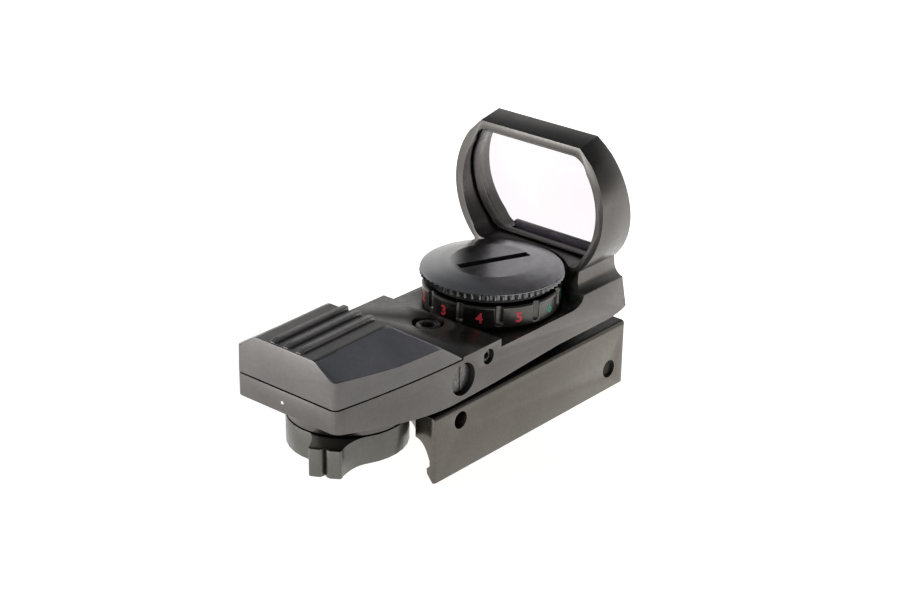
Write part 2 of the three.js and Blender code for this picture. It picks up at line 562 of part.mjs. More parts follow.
piece('selector_knob', selectorKnob(), 'anodised');
piece('reticle_drum', reticleDrum(), 'plastic');
Object.entries(PATTERNS).forEach(([name, pattern], i) => {
  piece(`reticle_mask_${name}`, reticleMask(DRUM.stations[i], pattern), 'bright');
});
piece('selector_screw', cut(
  join(rod('z', 2.3, 7.9, 9.0 - GAP, 0, KNOB.y, 24), rod('z', 1.0, 8.6, 14.4, 0, KNOB.y, 16)),
  box(-0.3, 0.3, KNOB.y - 3, KNOB.y + 3, 7, 8.3),
), 'steel');
const ballAt = (r, x, y, z) => solid(new THREE.SphereGeometry(r, 16, 10).translate(x, y, z));
piece('selector_detent_ball', ballAt(0.9, 0, KNOB.y + 8, 14.55), 'bright');

// ---------- brightness dial, battery and cap ----------
function brightnessDial() {
  const step = 360 / DIAL.positions;
  const notches = Array.from({ length: DIAL.positions }, (_, i) => {
    const [x, y] = polar(DIAL.r + 0.25, DIAL.firstNotch + i * step, 0, DIAL.y);
    return rod('z', 1.05, 20, 30, x, y, 16);
  });
  const profile = [
    [DIAL.innerR, DIAL.z0], [DIAL.r, DIAL.z0], [DIAL.r, DIAL.z1 - 0.3], [DIAL.r - 0.3, DIAL.z1],
    [DIAL.innerR, DIAL.z1],
  ];
  return cut(turned(profile, 0, DIAL.y, 66), ...notches, box(-1.4, 1.4, DIAL.y + 11, DIAL.y + 13, 21, 22.9));
}

function batteryCap() {
  const { r, z0, rimZ, kneeZ, topZ, discR, plugR, teeth } = CAP;
  const knurl = Array.from({ length: teeth }, (_, i) => {
    const step = 360 / teeth;
    return [polar(r, i * step), polar(r, (i + 0.5) * step), polar(r - 0.4, (i + 0.75) * step)];
  }).flat();
  const rim = moved(prism(knurl, 'z', rimZ, kneeZ), 0, DIAL.y, 0);
  const crown = turned([
    [0, z0 - 0.4], [plugR, z0 - 0.4], [plugR, z0], [r - 0.8, z0],
    [r - 0.8, kneeZ - 0.2], [r - 0.1, kneeZ - 0.2], [r - 0.1, kneeZ + 0.05],
    [r - 1.6, kneeZ + 0.5], [(r + discR) / 2, topZ - 0.3], [discR, topZ], [0, topZ + 0.2],
  ], 0, DIAL.y, 48);
  const { angle, from, to, half, depth } = COIN_SLOT;
  const coinSlot = box(from, to, -half, half, topZ - depth, topZ + 2).rotate([0, 0, angle]);
  return cut(join(rim, crown), moved(coinSlot, 0, DIAL.y, 0));
}

const batteryCup = cut(
  turned([
    [0, 17.9], [8.6, 17.9], [8.6, 21.8], [11.0, 21.8], [11.0, 26.5], [10.3, 26.5], [10.3, 22.4], [0, 22.4],
  ], 0, DIAL.y, 64),
  rod('z', 3.4, 21.9, 23, 0, DIAL.y, 24),
);
piece('brightness_dial', brightnessDial(), 'anodised');
piece('dial_wiper', box(-1.0, 1.0, DIAL.y + 11.6, DIAL.y + 12.7, 21.8, 22.5), 'brass');
piece('battery_cap', batteryCap(), 'anodised');
piece('battery_cell', rod('z', CELL.r, CELL.z0, CELL.z1, 0, DIAL.y, 48), 'bright');
piece('battery_cup', batteryCup, 'plastic');
piece('battery_contact', join(
  rod('z', 3.0, 22.2, 22.45, 0, DIAL.y, 24),
  rod('z', 1.2, 22.4, 22.6, 0, DIAL.y, 16),
), 'brass');
piece('rheostat_board', ring(9.0, 12.9, 21.0, 21.5, 0, DIAL.y, 48), 'board');
const plungerNose = ballAt(1.0, ...polar(DIAL.r + 1.3, DETENT_ANGLE, 0, DIAL.y), 24.2);
const plungerStem = join(dialDetent(1.0, 0.9, 1.3), dialDetent(0.6, 0.5, 2.1));
piece('dial_detent_plunger', join(plungerNose, plungerStem), 'bright');

// ---------- adjusting screws ----------
const elevationHead = rod('z', ELEVATION.headR, 20.6, 22.9, 0, ELEVATION.y);
const elevationShank = rod('z', ELEVATION.shankR, 10, 20.7, 0, ELEVATION.y, 24);
const elevationSocket = moved(prism(hexagon(2.6), 'z', 21.3, 24), 0, ELEVATION.y, 0);
piece('elevation_screw', cut(join(elevationHead, elevationShank), elevationSocket), 'steel');
const windageBar = rod('x', WINDAGE.r, 3.3, 13.9, 0, 0);
const windageSlot = box(13.9 - WINDAGE.slotDepth, 15, -WINDAGE.slotHalf, WINDAGE.slotHalf, -4, 4);
piece('windage_screw', moved(cut(windageBar, windageSlot), 0, WINDAGE.y, WINDAGE.z), 'steel');
piece('elevation_lock_screw', cut(
  rod('x', LOCK.r, ELEVATION.headR + GAP + 0.15, 14.3, LOCK.y, LOCK.z, 24),
  moved(prism(hexagon(1.2), 'x', 13.2, 16), 0, LOCK.y, LOCK.z),
), 'steel');

// ---------- springs and leads ----------
class Coil extends THREE.Curve {
  constructor(radius, height, turns) {
    super();
    Object.assign(this, { radius, height, turns });
  }
  getPoint(t, target = new THREE.Vector3()) {
    const angle = 2 * Math.PI * this.turns * t;
    return target.set(this.radius * Math.cos(angle), this.radius * Math.sin(angle), this.height * t);
  }
}

// Wire of radius `wire` swept along a curve as a closed bar with a regular section.
function sweep(curve, wire, steps, sides = 6) {
  const section = new THREE.Shape(Array.from({ length: sides }, (_, i) =>
    new THREE.Vector2(...polar(wire, (360 / sides) * i))));
  return solid(new THREE.ExtrudeGeometry(section, { steps, extrudePath: curve, bevelEnabled: false }));
}

const spring = (radius, wire, height, turns) =>
  moved(sweep(new Coil(radius, height - 2 * wire, turns), wire, turns * 9), 0, 0, wire);
piece('elevation_spring', moved(spring(2.3, 0.3, 3.6, 4), 0, ELEVATION.y, 14.1), 'spring');
const windageSpring = spring(1.7, 0.25, 4.6, 5).rotate([0, 90, 0]);
piece('windage_spring', moved(windageSpring, -7.75, WINDAGE.y, WINDAGE.z), 'spring');
piece('selector_detent_spring', moved(spring(0.75, 0.15, 2.6, 5), 0, KNOB.y + 8, 15.8), 'spring');
piece('dial_detent_spring', moved(
  spring(0.75, 0.15, 2.1, 4).rotate([0, 90, 0]).rotate([0, 0, DETENT_ANGLE]),
  ...polar(DIAL.r + 2.85, DETENT_ANGLE, 0, DIAL.y), 24.2), 'spring');

const leadRoute = new THREE.CatmullRomCurve3([
  [-5.0, -20.95, BOARD.z0 - GAP], [-5.6, -20.4, 26], [-7.4, -19.2, 22.8], [-9.8, -16.4, 20.1],
  [leadBore.x, -12, leadBore.z], [leadBore.x, 2, leadBore.z], [leadBore.x, 9.5, leadBore.z],
].map(([x, y, z]) => new THREE.Vector3(x, y, z)));
piece('emitter_lead', sweep(leadRoute, 0.35, 30, 8), 'lead');

export default group;
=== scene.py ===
"""Looks of an open reflex red-dot sight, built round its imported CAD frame. Lengths in mm unless said."""
import json
import math

import bmesh
import bpy
from mathutils import Matrix, Vector

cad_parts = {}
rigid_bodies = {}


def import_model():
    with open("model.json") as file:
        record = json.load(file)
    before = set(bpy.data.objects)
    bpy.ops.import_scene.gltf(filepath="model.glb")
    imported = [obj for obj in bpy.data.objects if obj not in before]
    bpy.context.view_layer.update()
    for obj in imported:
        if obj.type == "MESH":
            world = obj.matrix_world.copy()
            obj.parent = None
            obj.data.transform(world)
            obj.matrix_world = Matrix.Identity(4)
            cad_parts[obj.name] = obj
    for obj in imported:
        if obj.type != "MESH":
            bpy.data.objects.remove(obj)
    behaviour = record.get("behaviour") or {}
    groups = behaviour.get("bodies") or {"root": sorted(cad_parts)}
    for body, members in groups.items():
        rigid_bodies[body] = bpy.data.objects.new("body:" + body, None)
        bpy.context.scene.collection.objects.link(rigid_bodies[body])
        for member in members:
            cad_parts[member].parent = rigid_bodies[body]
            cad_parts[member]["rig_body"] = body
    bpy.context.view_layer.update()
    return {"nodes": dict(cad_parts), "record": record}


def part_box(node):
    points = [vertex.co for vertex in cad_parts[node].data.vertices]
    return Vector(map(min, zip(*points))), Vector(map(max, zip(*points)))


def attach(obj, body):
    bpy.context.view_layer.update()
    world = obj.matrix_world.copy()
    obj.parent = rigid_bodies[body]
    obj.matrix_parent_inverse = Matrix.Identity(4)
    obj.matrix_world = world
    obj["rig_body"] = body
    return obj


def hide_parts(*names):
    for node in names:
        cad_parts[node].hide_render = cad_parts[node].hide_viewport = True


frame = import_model()

MM = 0.001
SCENE = bpy.context.scene

# ---------- sizes read from the frame, in mm ----------


def box_mm(node):
    """Lowest and highest corner of a CAD node, in mm."""
    low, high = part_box(node)
    return low / MM, high / MM


def round_part(node):
    """Axis place, radius and height range of a CAD node that is round about Z."""
    low, high = box_mm(node)
    return {"x": (low.x + high.x) / 2, "y": (low.y + high.y) / 2,
            "r": (high.x - low.x) / 2, "z0": low.z, "z1": high.z}


FRAME_REAR = box_mm("main_frame")[0].y
COVER_LOW, COVER_HIGH = box_mm("rear_cover")
DIAL = round_part("brightness_dial")
CAP = round_part("battery_cap")

# ---------- camera, floor and light ----------
VIEW = {
    "azimuth": 40.116, "elevation": 24.163, "roll": 0.983,
    "lens": 78.22, "place": (226.82, -263.10, 181.59),
}


def look_matrix(azimuth, elevation, roll, place):
    """Camera matrix from its heading, height angle and roll in degrees, at a place in mm."""
    a, e, r = (math.radians(v) for v in (azimuth, elevation, roll))
    ahead = Vector((-math.sin(a) * math.cos(e), math.cos(a) * math.cos(e), -math.sin(e)))
    level = Vector((math.cos(a), math.sin(a), 0))
    upright = level.cross(ahead)
    right = math.cos(r) * level + math.sin(r) * upright
    up = math.cos(r) * upright - math.sin(r) * level
    columns = Matrix((right, up, -ahead)).transposed().to_4x4()
    return Matrix.Translation(Vector(place) * MM) @ columns


def add_camera():
    data = bpy.data.cameras.new("camera")
    data.lens = VIEW["lens"]
    data.sensor_width = 36
    data.clip_start = 0.01
    camera = bpy.data.objects.new("camera", data)
    SCENE.collection.objects.link(camera)
    camera.matrix_world = look_matrix(VIEW["azimuth"], VIEW["elevation"], VIEW["roll"], VIEW["place"])
    SCENE.camera = camera


def set_range(node, low, high, to_low, to_high):
    """Makes a Map Range node take low..high to to_low..to_high, held at the ends."""
    for socket, value in zip(("From Min", "From Max", "To Min", "To Max"), (low, high, to_low, to_high)):
        node.inputs[socket].default_value = value


def floor_material():
    """White sweep whose glow grows with distance ahead of and behind the sight. Distances in metres."""
    centre_y, near, far = -0.02, 0.02, 0.09
    dim, bright = 0.95, 1.35
    material = bpy.data.materials.new("floor")
    material.use_nodes = True
    tree = material.node_tree
    shader = tree.nodes["Principled BSDF"]
    shader.inputs["Base Color"].default_value = (0.45, 0.45, 0.45, 1)
    shader.inputs["Roughness"].default_value = 0.9
    shader.inputs["Emission Color"].default_value = (1, 0.99, 0.97, 1)
    place = tree.nodes.new("ShaderNodeTexCoord")
    split = tree.nodes.new("ShaderNodeSeparateXYZ")
    offset = tree.nodes.new("ShaderNodeMath")
    offset.operation = "ADD"
    offset.inputs[1].default_value = -centre_y
    distance = tree.nodes.new("ShaderNodeMath")
    distance.operation = "ABSOLUTE"
    glow = tree.nodes.new("ShaderNodeMapRange")
    glow.interpolation_type = "SMOOTHSTEP"
    set_range(glow, near, far, dim, bright)
    tree.links.new(place.outputs["Object"], split.inputs[0])
    tree.links.new(split.outputs["Y"], offset.inputs[0])
    tree.links.new(offset.outputs[0], distance.inputs[0])
    tree.links.new(distance.outputs[0], glow.inputs["Value"])
    tree.links.new(glow.outputs["Result"], shader.inputs["Emission Strength"])
    return material


def add_floor():
    """Square floor under the sight, reaching 3 m each way."""
    reach = 3.0
    corners = [(-reach, -reach, 0), (reach, -reach, 0), (reach, reach, 0), (-reach, reach, 0)]
    mesh = bpy.data.meshes.new("floor")
    mesh.from_pydata(corners, [], [(0, 1, 2, 3)])
    mesh.materials.append(floor_material())
    floor = bpy.data.objects.new("floor", mesh)
    SCENE.collection.objects.link(floor)


def add_light(name, place, watts, size, aim):
    """Square white softbox at a place in metres, turned to face another."""
    data = bpy.data.lights.new(name, "AREA")
    data.energy = watts
    data.size = size
    lamp = bpy.data.objects.new(name, data)
    lamp.location = place
    lamp.rotation_euler = (Vector(aim) - Vector(place)).to_track_quat("-Z", "Y").to_euler()
    SCENE.collection.objects.link(lamp)


def add_world():
    """Studio surroundings: pale low down, dark overhead, and dimmer on the sight's right."""
    world = bpy.data.worlds.new("studio")
    SCENE.world = world
    world.use_nodes = True
    tree = world.node_tree
    place = tree.nodes.new("ShaderNodeTexCoord")
    split = tree.nodes.new("ShaderNodeSeparateXYZ")
    ramp = tree.nodes.new("ShaderNodeValToRGB")
    side = tree.nodes.new("ShaderNodeMapRange")
    stops = [(0.0, (1.0, 0.99, 0.97, 1)), (0.25, (0.80, 0.80, 0.79, 1)), (0.43, (0.68, 0.68, 0.68, 1)),
             (0.57, (0.27, 0.275, 0.29, 1)), (0.70, (0.12, 0.123, 0.135, 1))]
    while len(ramp.color_ramp.elements) < len(stops):
        ramp.color_ramp.elements.new(0.5)
    for element, (position, colour) in zip(ramp.color_ramp.elements, stops):
        element.position = position
        element.color = colour
    set_range(side, 0.30, 0.66, 1.0, 0.35)
    tree.links.new(place.outputs["Generated"], split.inputs[0])
    tree.links.new(split.outputs["Z"], ramp.inputs["Fac"])
    tree.links.new(split.outputs["X"], side.inputs["Value"])
    tree.links.new(ramp.outputs["Color"], tree.nodes["Background"].inputs["Color"])
    tree.links.new(side.outputs["Result"], tree.nodes["Background"].inputs["Strength"])


add_camera()
add_floor()
add_world()
add_light("key_rear", (-0.16, -0.26, 0.07), 0.30, 0.14, aim=(0, -0.04, 0.025))
SCENE.view_settings.view_transform = "Standard"

# ---------- materials ----------


class Surface:
    """A Principled material with a few short ways to add noise-driven detail."""

    def __init__(self, name, colour, metallic, roughness, **sockets):
        self.material = bpy.data.materials.new(name)
        self.material.use_nodes = True
        self.tree = self.material.node_tree
        self.shader = self.tree.nodes["Principled BSDF"]
        self.colour = colour
        self.roughness = roughness
        self.shader.inputs["Base Color"].default_value = (*colour, 1)
        self.shader.inputs["Metallic"].default_value = metallic
        self.shader.inputs["Roughness"].default_value = roughness
        for socket, value in sockets.items():
            self.shader.inputs[socket.replace("_", " ")].default_value = value
        self.place = self.tree.nodes.new("ShaderNodeTexCoord").outputs["Object"]
        self.bumps = []

    def link(self, source, target):
        self.tree.links.new(source, target)

    def noise(self, size_mm, detail):
        """Noise whose features measure about size_mm."""
        mapping = self.tree.nodes.new("ShaderNodeMapping")
        mapping.inputs["Scale"].default_value = [1 / (size_mm * MM)] * 3
        texture = self.tree.nodes.new("ShaderNodeTexNoise")
        texture.inputs["Scale"].default_value = 1.0
        texture.inputs["Detail"].default_value = detail
        self.link(self.place, mapping.inputs["Vector"])
        self.link(mapping.outputs["Vector"], texture.inputs["Vector"])
        return texture.outputs["Fac"]

    def range(self, source, low, high, to_low, to_high):
        """Maps low..high of a value to to_low..to_high, held at the ends."""
        node = self.tree.nodes.new("ShaderNodeMapRange")
        self.link(source, node.inputs["Value"])
        set_range(node, low, high, to_low, to_high)
        return node.outputs["Result"]

    def tint(self, factor, colour):
        """Mixes a colour over what the base colour is so far, by a factor."""
        mix = self.tree.nodes.new("ShaderNodeMix")
        mix.data_type = "RGBA"
        base = self.shader.inputs["Base Color"]
        if base.is_linked:
            self.link(base.links[0].from_socket, mix.inputs["A"])
        else:
            mix.inputs["A"].default_value = base.default_value
        mix.inputs["B"].default_value = (*colour, 1)
        self.link(factor, mix.inputs["Factor"])
        self.link(mix.outputs["Result"], base)

    def rough(self, source, spread):
        """Lets roughness wander by spread either side of its plain value."""
        wander = self.range(source, 0.3, 0.7, self.roughness - spread, self.roughness + spread)
        self.link(wander, self.shader.inputs["Roughness"])

    def bump(self, source, depth_mm):
        """Raises and sinks the surface by a height pattern, on top of any bump it already has."""
        node = self.tree.nodes.new("ShaderNodeBump")
        node.inputs["Strength"].default_value = 1.0
        node.inputs["Distance"].default_value = depth_mm * MM
        self.link(source, node.inputs["Height"])
        if self.bumps:
            self.link(self.bumps[-1].outputs["Normal"], node.inputs["Normal"])
        self.link(node.outputs["Normal"], self.shader.inputs["Normal"])
        self.bumps.append(node)

    def edge_mask(self, radius_mm):
        """Up to 0.75 on convex and concave edges and 0 on open faces, broken up by noise."""
        low, high = 0.02, 0.3
        bevel = self.tree.nodes.new("ShaderNodeBevel")
        bevel.samples = 4
        bevel.inputs["Radius"].default_value = radius_mm * MM
        geometry = self.tree.nodes.new("ShaderNodeNewGeometry")
        dot = self.tree.nodes.new("ShaderNodeVectorMath")
        dot.operation = "DOT_PRODUCT"
        self.link(bevel.outputs["Normal"], dot.inputs[0])
        self.link(geometry.outputs["Normal"], dot.inputs[1])
        edge = self.range(dot.outputs["Value"], 1 - low, 1 - high, 0, 1)
        product = self.tree.nodes.new("ShaderNodeMath")
        product.operation = "MULTIPLY"
        self.link(edge, product.inputs[0])
        self.link(self.range(self.noise(1.6, 5), 0.42, 0.62, 0.05, 0.75), product.inputs[1])
        return product.outputs["Value"]


def scaled(colour, factor):
    return tuple(c * factor for c in colour)


def anodised(name, colour, roughness, grain_mm, grain_depth, wear_and_glint=1.0):
    """Satin black anodising: cloudy tone, fine grain, and paler edges that are partly rubbed wear and partly
    painted highlight.
    """
    surface = Surface(name, colour, 1.0, roughness)
    surface.tint(surface.range(surface.noise(9, 2), 0.35, 0.65, 0, 0.4), scaled(colour, 1.3))
    surface.tint(surface.range(surface.noise(0.7, 4), 0.40, 0.75, 0, 0.35), scaled(colour, 0.78))
    # Paler edge colour: real rubbed wear plus painted highlight for edges catching light.
    rubbed = tuple(c * (1 + 1.7 * wear_and_glint) + 0.05 * wear_and_glint for c in colour)
    surface.tint(surface.edge_mask(0.22), rubbed)
    surface.rough(surface.noise(0.9, 4), 0.05)
    surface.bump(surface.noise(grain_mm, 4), grain_depth)
    return surface.material


def turned_metal(name, colour, roughness, centre):
    """Lathe-turned finish: faint rings about a vertical axis, and reflections drawn out along one way."""
    ring_mm = 0.45
    surface = Surface(name, colour, 1.0, roughness, Anisotropic=0.45, Anisotropic_Rotation=0.25)
    tangent = surface.tree.nodes.new("ShaderNodeTangent")
    tangent.direction_type = "RADIAL"
    tangent.axis = "Z"
    surface.link(tangent.outputs["Tangent"], surface.shader.inputs["Tangent"])
    mapping = surface.tree.nodes.new("ShaderNodeMapping")
    mapping.inputs["Location"].default_value = (-centre["x"] * MM, -centre["y"] * MM, 0)
    rings = surface.tree.nodes.new("ShaderNodeTexWave")
    rings.wave_type = "RINGS"
    rings.rings_direction = "Z"
    rings.inputs["Scale"].default_value = 0.05 / (ring_mm * MM)
    rings.inputs["Distortion"].default_value = 0.6
    surface.link(surface.place, mapping.inputs["Vector"])
    surface.link(mapping.outputs["Vector"], rings.inputs["Vector"])
    surface.tint(surface.range(surface.noise(7, 2), 0.35, 0.65, 0, 0.35), scaled(colour, 1.2))
    surface.tint(surface.range(rings.outputs["Fac"], 0, 1, 0, 0.18), scaled(colour, 0.7))
    surface.rough(surface.noise(1.4, 3), 0.03)
    return surface.material


def steel(name, colour, roughness, speck=0.0):
    """Turned steel with fine machining lines, and pale specks where a black finish has rubbed off."""
    surface = Surface(name, colour, 1.0, roughness)
    surface.tint(surface.range(surface.noise(2.5, 3), 0.3, 0.7, 0, 0.4), scaled(colour, 0.7))
    if speck:
        surface.tint(surface.range(surface.noise(0.32, 5), 0.52, 0.66, 0, speck), (0.42, 0.41, 0.40))
    surface.rough(surface.noise(0.5, 4), 0.08)
    surface.bump(surface.noise(0.25, 3), 0.012)
    return surface.material


def moulded(name, colour, roughness, coat=0.0):
    """Moulded plastic or paint: slightly cloudy, with a very fine grain."""
    surface = Surface(name, colour, 0.0, roughness, Coat_Weight=coat)
    surface.tint(surface.range(surface.noise(3, 3), 0.4, 0.7, 0, 0.5), scaled(colour, 0.75))
    surface.rough(surface.noise(0.8, 3), 0.05)
    surface.bump(surface.noise(0.3, 3), 0.01)
    return surface.material


def coated_glass(name, colour, roughness):
    """Clear glass with a faint, uneven magenta cast, its IOR far below real glass to keep the view bright."""
    surface = Surface(name, colour, 0.0, roughness, Transmission_Weight=1.0, IOR=1.03, Coat_Weight=0.3)
    red, green, blue = colour
    surface.tint(surface.range(surface.noise(14, 1), 0.42, 0.6, 0, 1.0), (red, green * 0.975, blue))
    return surface.material


def circuit_board(name):
    """Green solder mask with brighter copper lands scattered over it."""
    surface = Surface(name, (0.02, 0.14, 0.05), 0.0, 0.35, Coat_Weight=0.4)
    land_pitch_mm = 1.1
    cells = surface.tree.nodes.new("ShaderNodeTexVoronoi")
    cells.inputs["Scale"].default_value = 1 / (land_pitch_mm * MM)
    surface.link(surface.place, cells.inputs["Vector"])
    surface.tint(surface.range(cells.outputs["Distance"], 0.16, 0.22, 1, 0), (0.55, 0.42, 0.18))
    surface.tint(surface.range(surface.noise(1.5, 4), 0.5, 0.6, 0, 0.6), (0.03, 0.20, 0.08))
    surface.bump(cells.outputs["Distance"], 0.02)
    return surface.material


MATERIALS = {
    "body_black": anodised("body_black", (0.128, 0.121, 0.115), 0.33, 0.22, 0.008),
    "cover_black": anodised("cover_black", (0.140, 0.134, 0.131), 0.33, 0.22, 0.008),
    # Lighter copy of the cover finish for the two chamfers: painted highlight in place of a reflected light.
    "chamfer_painted_highlight": anodised("chamfer_painted_highlight", (0.330, 0.328, 0.352), 0.36, 0.22, 0.010),
    # Grip ribs: the coarse grain and roughness are real; the paler tone and strong pale edges are painted
    # highlight.
    "rib_painted_highlight": anodised("rib_painted_highlight", (0.250, 0.246, 0.242), 0.42, 0.34, 0.090, wear_and_glint=1.6),
    "base_black": anodised("base_black", (0.135, 0.124, 0.110), 0.30, 0.22, 0.006),
    "cap_black": turned_metal("cap_black", (0.360, 0.358, 0.362), 0.23, CAP),
    # Darker copy of the cap finish for the knurl: painted shade.
    "knurl_painted_shade": anodised("knurl_painted_shade", (0.170, 0.170, 0.172), 0.34, 0.15, 0.004),
    # Near-black for the base's top faces under the frame and the front clamp screw end deep in its bore:
    # painted shade.
    "painted_shade_dull_black": anodised("painted_shade_dull_black", (0.030, 0.027, 0.024), 0.50, 0.25, 0.020),
    "dial_black": anodised("dial_black", (0.110, 0.106, 0.100), 0.32, 0.20, 0.006),
    "knob_black": anodised("knob_black", (0.135, 0.130, 0.118), 0.32, 0.20, 0.006),
    # Anti-glare comb: pale grey-lilac raised well above its own dark tone to stand in for light it catches:
    # painted light.
    "serration_painted_light": moulded("serration_painted_light", (0.500, 0.470, 0.520), 0.6),
    "screw_steel": steel("screw_steel", (0.10, 0.095, 0.09), 0.35, speck=0.5),
    "worn_steel": steel("worn_steel", (0.150, 0.146, 0.142), 0.42, speck=0.35),
    "bright_steel": steel("bright_steel", (0.55, 0.55, 0.56), 0.30),
    "spring_steel": steel("spring_steel", (0.42, 0.42, 0.44), 0.28),
    "lens_glass": coated_glass("lens_glass", (0.700, 0.682, 0.704), 0.0),
    "drum_plastic": moulded("drum_plastic", (0.022, 0.022, 0.024), 0.5),
    "board_green": circuit_board("board_green"),
    "carbon_track": moulded("carbon_track", (0.014, 0.012, 0.010), 0.55),
    "contact_brass": steel("contact_brass", (0.72, 0.53, 0.24), 0.3),
    "emitter_red": moulded("emitter_red", (0.62, 0.05, 0.04), 0.18, coat=0.6),
    "lead_red": moulded("lead_red", (0.36, 0.02, 0.02), 0.45),
    # Near-black put on bore walls, the cap's neck and the coin slot walls: painted shade.
    "painted_shade_black": moulded("painted_shade_black", (0.010, 0.010, 0.010), 0.6),
    "mark_red": moulded("mark_red", (0.80, 0.05, 0.07), 0.5),
    "mark_green": moulded("mark_green", (0.03, 0.30, 0.21), 0.5),
    "mark_white": moulded("mark_white", (0.82, 0.82, 0.80), 0.5),
}

# ---------- mesh tools ----------


def add_piece(name, mesh, body, slot, material=None, replaces=()):
    """Puts a mesh in the scene on a CAD body, with its finish."""
    mesh.materials.clear()
    mesh.materials.append(MATERIALS[material or slot])
    piece = bpy.data.objects.new(name, mesh)
    SCENE.collection.objects.link(piece)
    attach(piece, body)
    if replaces:
        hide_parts(*replaces)
    return piece


def shade(mesh, angle=38):
    """Smooth shading that keeps edges sharper than angle crisp."""
    mesh.polygons.foreach_set("use_smooth", [True] * len(mesh.polygons))
    mesh.set_sharp_from_angle(angle=math.radians(angle))
    return mesh


def mesh_of(name, points_mm, faces):
    """Mesh from points in mm."""
    mesh = bpy.data.meshes.new(name)
    mesh.from_pydata([Vector(p) * MM for p in points_mm], [], faces)
    return facing_out(mesh)


def facing_out(mesh):
    """The mesh with coincident points welded and its faces turned outwards."""
    work = bmesh.new()
    work.from_mesh(mesh)
    bmesh.ops.remove_doubles(work, verts=work.verts, dist=1e-7)
    bmesh.ops.recalc_face_normals(work, faces=work.faces)
    work.to_mesh(mesh)
    work.free()
    return mesh


def modified(mesh, settings):
    """The mesh with modifiers applied: settings is a list of (type, {attribute: value})."""
    carrier = bpy.data.objects.new("carrier", mesh)
    SCENE.collection.objects.link(carrier)
    for kind, values in settings:
        modifier = carrier.modifiers.new(kind, kind)
        for attribute, value in values.items():
            setattr(modifier, attribute, value)
    depsgraph = bpy.context.evaluated_depsgraph_get()
    result = bpy.data.meshes.new_from_object(carrier.evaluated_get(depsgraph))
    bpy.data.objects.remove(carrier)
    return result


def bevelled(mesh, width_mm, angle=33):
    """The mesh with its edges sharper than angle rounded over."""
    return modified(mesh, [("BEVEL", {
        "width": width_mm * MM, "segments": 2, "limit_method": "ANGLE",
        "angle_limit": math.radians(angle), "miter_outer": "MITER_SHARP",
    })])


def carved(mesh, cutters):
    """The mesh less each cutter mesh."""
    holders = []
    for cutter in cutters:
        holder = bpy.data.objects.new("cutter", cutter)
        SCENE.collection.objects.link(holder)
        holders.append(holder)
    result = modified(mesh, [
        ("BOOLEAN", {"object": holder, "operation": "DIFFERENCE", "solver": "EXACT"}) for holder in holders])
    for holder in holders:
        bpy.data.objects.remove(holder)
    return result


def joined(meshes):
    """One mesh holding all the given meshes side by side."""
    work = bmesh.new()
    for mesh in meshes:
        work.from_mesh(mesh)
    result = bpy.data.meshes.new("joined")
    work.to_mesh(result)
    work.free()
    return result


def loft(rings, closed_ends=True):
    """Skins closed rings of equal length, given as lists of points in mm."""
    count = len(rings[0])
    points = [p for ring in rings for p in ring]
    faces = []
    for r in range(len(rings) - 1):
        for i in range(count):
            j = (i + 1) % count
            faces.append((r * count + i, r * count + j, (r + 1) * count + j, (r + 1) * count + i))
    if closed_ends:
        last = (len(rings) - 1) * count
        faces.append(tuple(range(count)))
        faces.append(tuple(range(last, last + count)))
    return mesh_of("loft", points, faces)


def circle(radii, x, y):
    """Points evenly spaced about (x, y), one at each of the given radii."""
    angles = [2 * math.pi * i / len(radii) for i in range(len(radii))]
    return [(x + r * math.cos(a), y + r * math.sin(a)) for r, a in zip(radii, angles)]


def lathe(profile, x, y, segments):
    """Solid turned about a vertical axis from a closed profile of (radius, z)."""
    rings = [[(*point, z) for point in circle([r] * segments, x, y)] for r, z in [*profile, profile[0]]]
    return loft(rings, closed_ends=False)


def block(low, high):
    """Box between two corners in mm."""
    (x0, y0, z0), (x1, y1, z1) = low, high
    return loft([[(x0, y0, z), (x1, y0, z), (x1, y1, z), (x0, y1, z)] for z in (z0, z1)])


def fillet(before, corner, after, radius, steps):
    """Points of a smooth curve, close to an arc, that rounds a corner of a flat outline."""
    b, c, a = Vector(before), Vector(corner), Vector(after)
    u, v = b - c, a - c
    lengths = u.length, v.length
    if min(lengths) < 1e-6:
        return [tuple(c)] * (steps + 1)
    u, v = u.normalized(), v.normalized()
    half = math.acos(max(-1, min(1, u.dot(v)))) / 2
    reach = min(radius / max(math.tan(half), 1e-4), 0.45 * min(lengths))
    start, end = c + u * reach, c + v * reach
    points = []
    for i in range(steps + 1):
        t = i / steps
        points.append(tuple((1 - t) ** 2 * start + 2 * t * (1 - t) * c + t ** 2 * end))
    return points


def softened(node, width_mm, material=None, smooth=38):
    """Stands in for a CAD node: the same solid with its edges eased by width_mm."""
    source = frame["nodes"][node]
    work = bmesh.new()
    work.from_mesh(source.data)
    bmesh.ops.remove_doubles(work, verts=work.verts, dist=2e-6)
    bmesh.ops.dissolve_limit(work, angle_limit=math.radians(1), verts=work.verts, edges=work.edges)
    bmesh.ops.dissolve_degenerate(work, dist=2e-6, edges=work.edges)
    mesh = bpy.data.meshes.new(node)
    work.to_mesh(mesh)
    work.free()
    if width_mm:
        mesh = bevelled(mesh, width_mm)
    slot = next(part["material_slot"] for part in frame["record"]["subparts"] if part["node"] == node)
    return add_piece(node + "_skin", shade(mesh, smooth), source["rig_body"], slot, material, [node])


